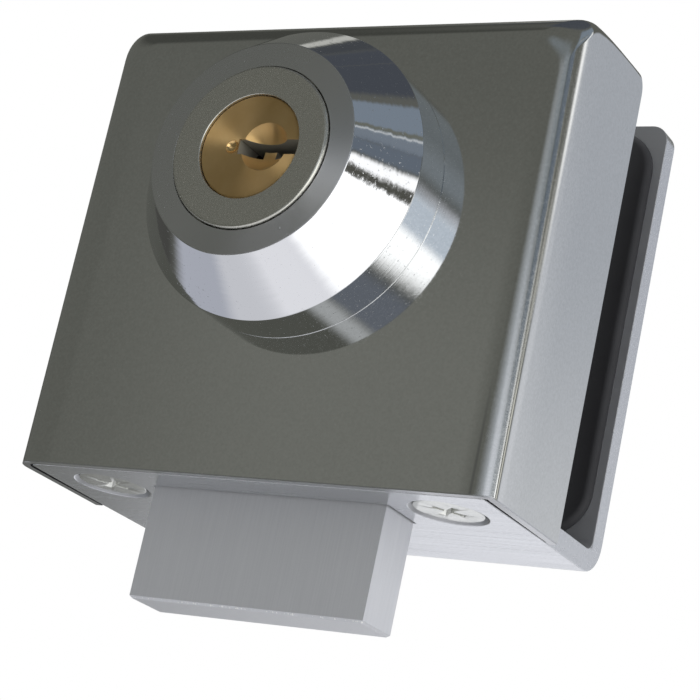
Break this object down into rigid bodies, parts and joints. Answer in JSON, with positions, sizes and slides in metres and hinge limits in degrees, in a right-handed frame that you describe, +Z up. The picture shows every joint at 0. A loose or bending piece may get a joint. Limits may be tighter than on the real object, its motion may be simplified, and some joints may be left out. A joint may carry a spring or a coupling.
{
  "type": "glass cabinet door lock",
  "caption": "Clamp-on glass door lock: pressed cover over a cast case, bent bracket behind the glass, key cylinder in a conical rosette, and a flat bolt that slides out of the underside.",
  "frame": {"origin": "middle of the floor of the glass slot, where the edge of the glass rests, halfway between the lock body and the rear leg", "axes": "+X to the right seen from the key side, +Y from the key side through the glass to the rear leg, +Z up along the glass, away from the bolt"},
  "size_m": [0.065, 0.0474, 0.0734],
  "materials": {
    "cover_chrome": "polished chrome plate on pressed steel",
    "bracket_aluminium": "satin aluminium plate with sawn edges",
    "cast_case": null,
    "screw_steel": "zinc plated",
    "pad_rubber": "matt black rubber",
    "rosette_chrome": "polished chrome plate on turned brass",
    "cylinder_nickel": "satin nickel plate on turned brass",
    "plug_brass": "turned brass",
    "spring_steel": "bright steel",
    "bolt_steel": "milled steel"
  },
  "bodies": {
    "lock_body": {"cover": "cover_chrome", "bracket": "bracket_aluminium", "lock_case": "cast_case", "case_back_plate": "cast_case", "case_screws": "screw_steel", "bracket_screws": "screw_steel", "front_pad": "pad_rubber", "rear_pad": "pad_rubber", "rosette": "rosette_chrome", "rosette_screws": "screw_steel", "cylinder_housing": "cylinder_nickel", "driver_pins": "plug_brass", "driver_springs": "spring_steel", "chamber_strip": "plug_brass", "guide_pins": "spring_steel"},
    "plug_group": {"plug": "plug_brass", "key_pins": "plug_brass", "plug_clip": "spring_steel", "drive_pinion": "spring_steel", "drive_screw": "screw_steel"},
    "bolt_group": {"bolt": "bolt_steel"}
  },
  "joints": [
    {"name": "bolt_slide", "type": "slide", "parent": "lock_body", "child": "bolt_group", "axis": [0, 0, 1], "range_m": [0, 0.01382]},
    {"name": "plug_turn", "type": "hinge", "parent": "lock_body", "child": "plug_group", "pos_m": [0, -0.0248, 0.0329], "axis": [0, -1, 0], "range_deg": [0, 180]}
  ],
  "couplings": [
    {"joint": "plug_turn", "follows": "bolt_slide", "rad_per_m": 227.27}
  ]
}
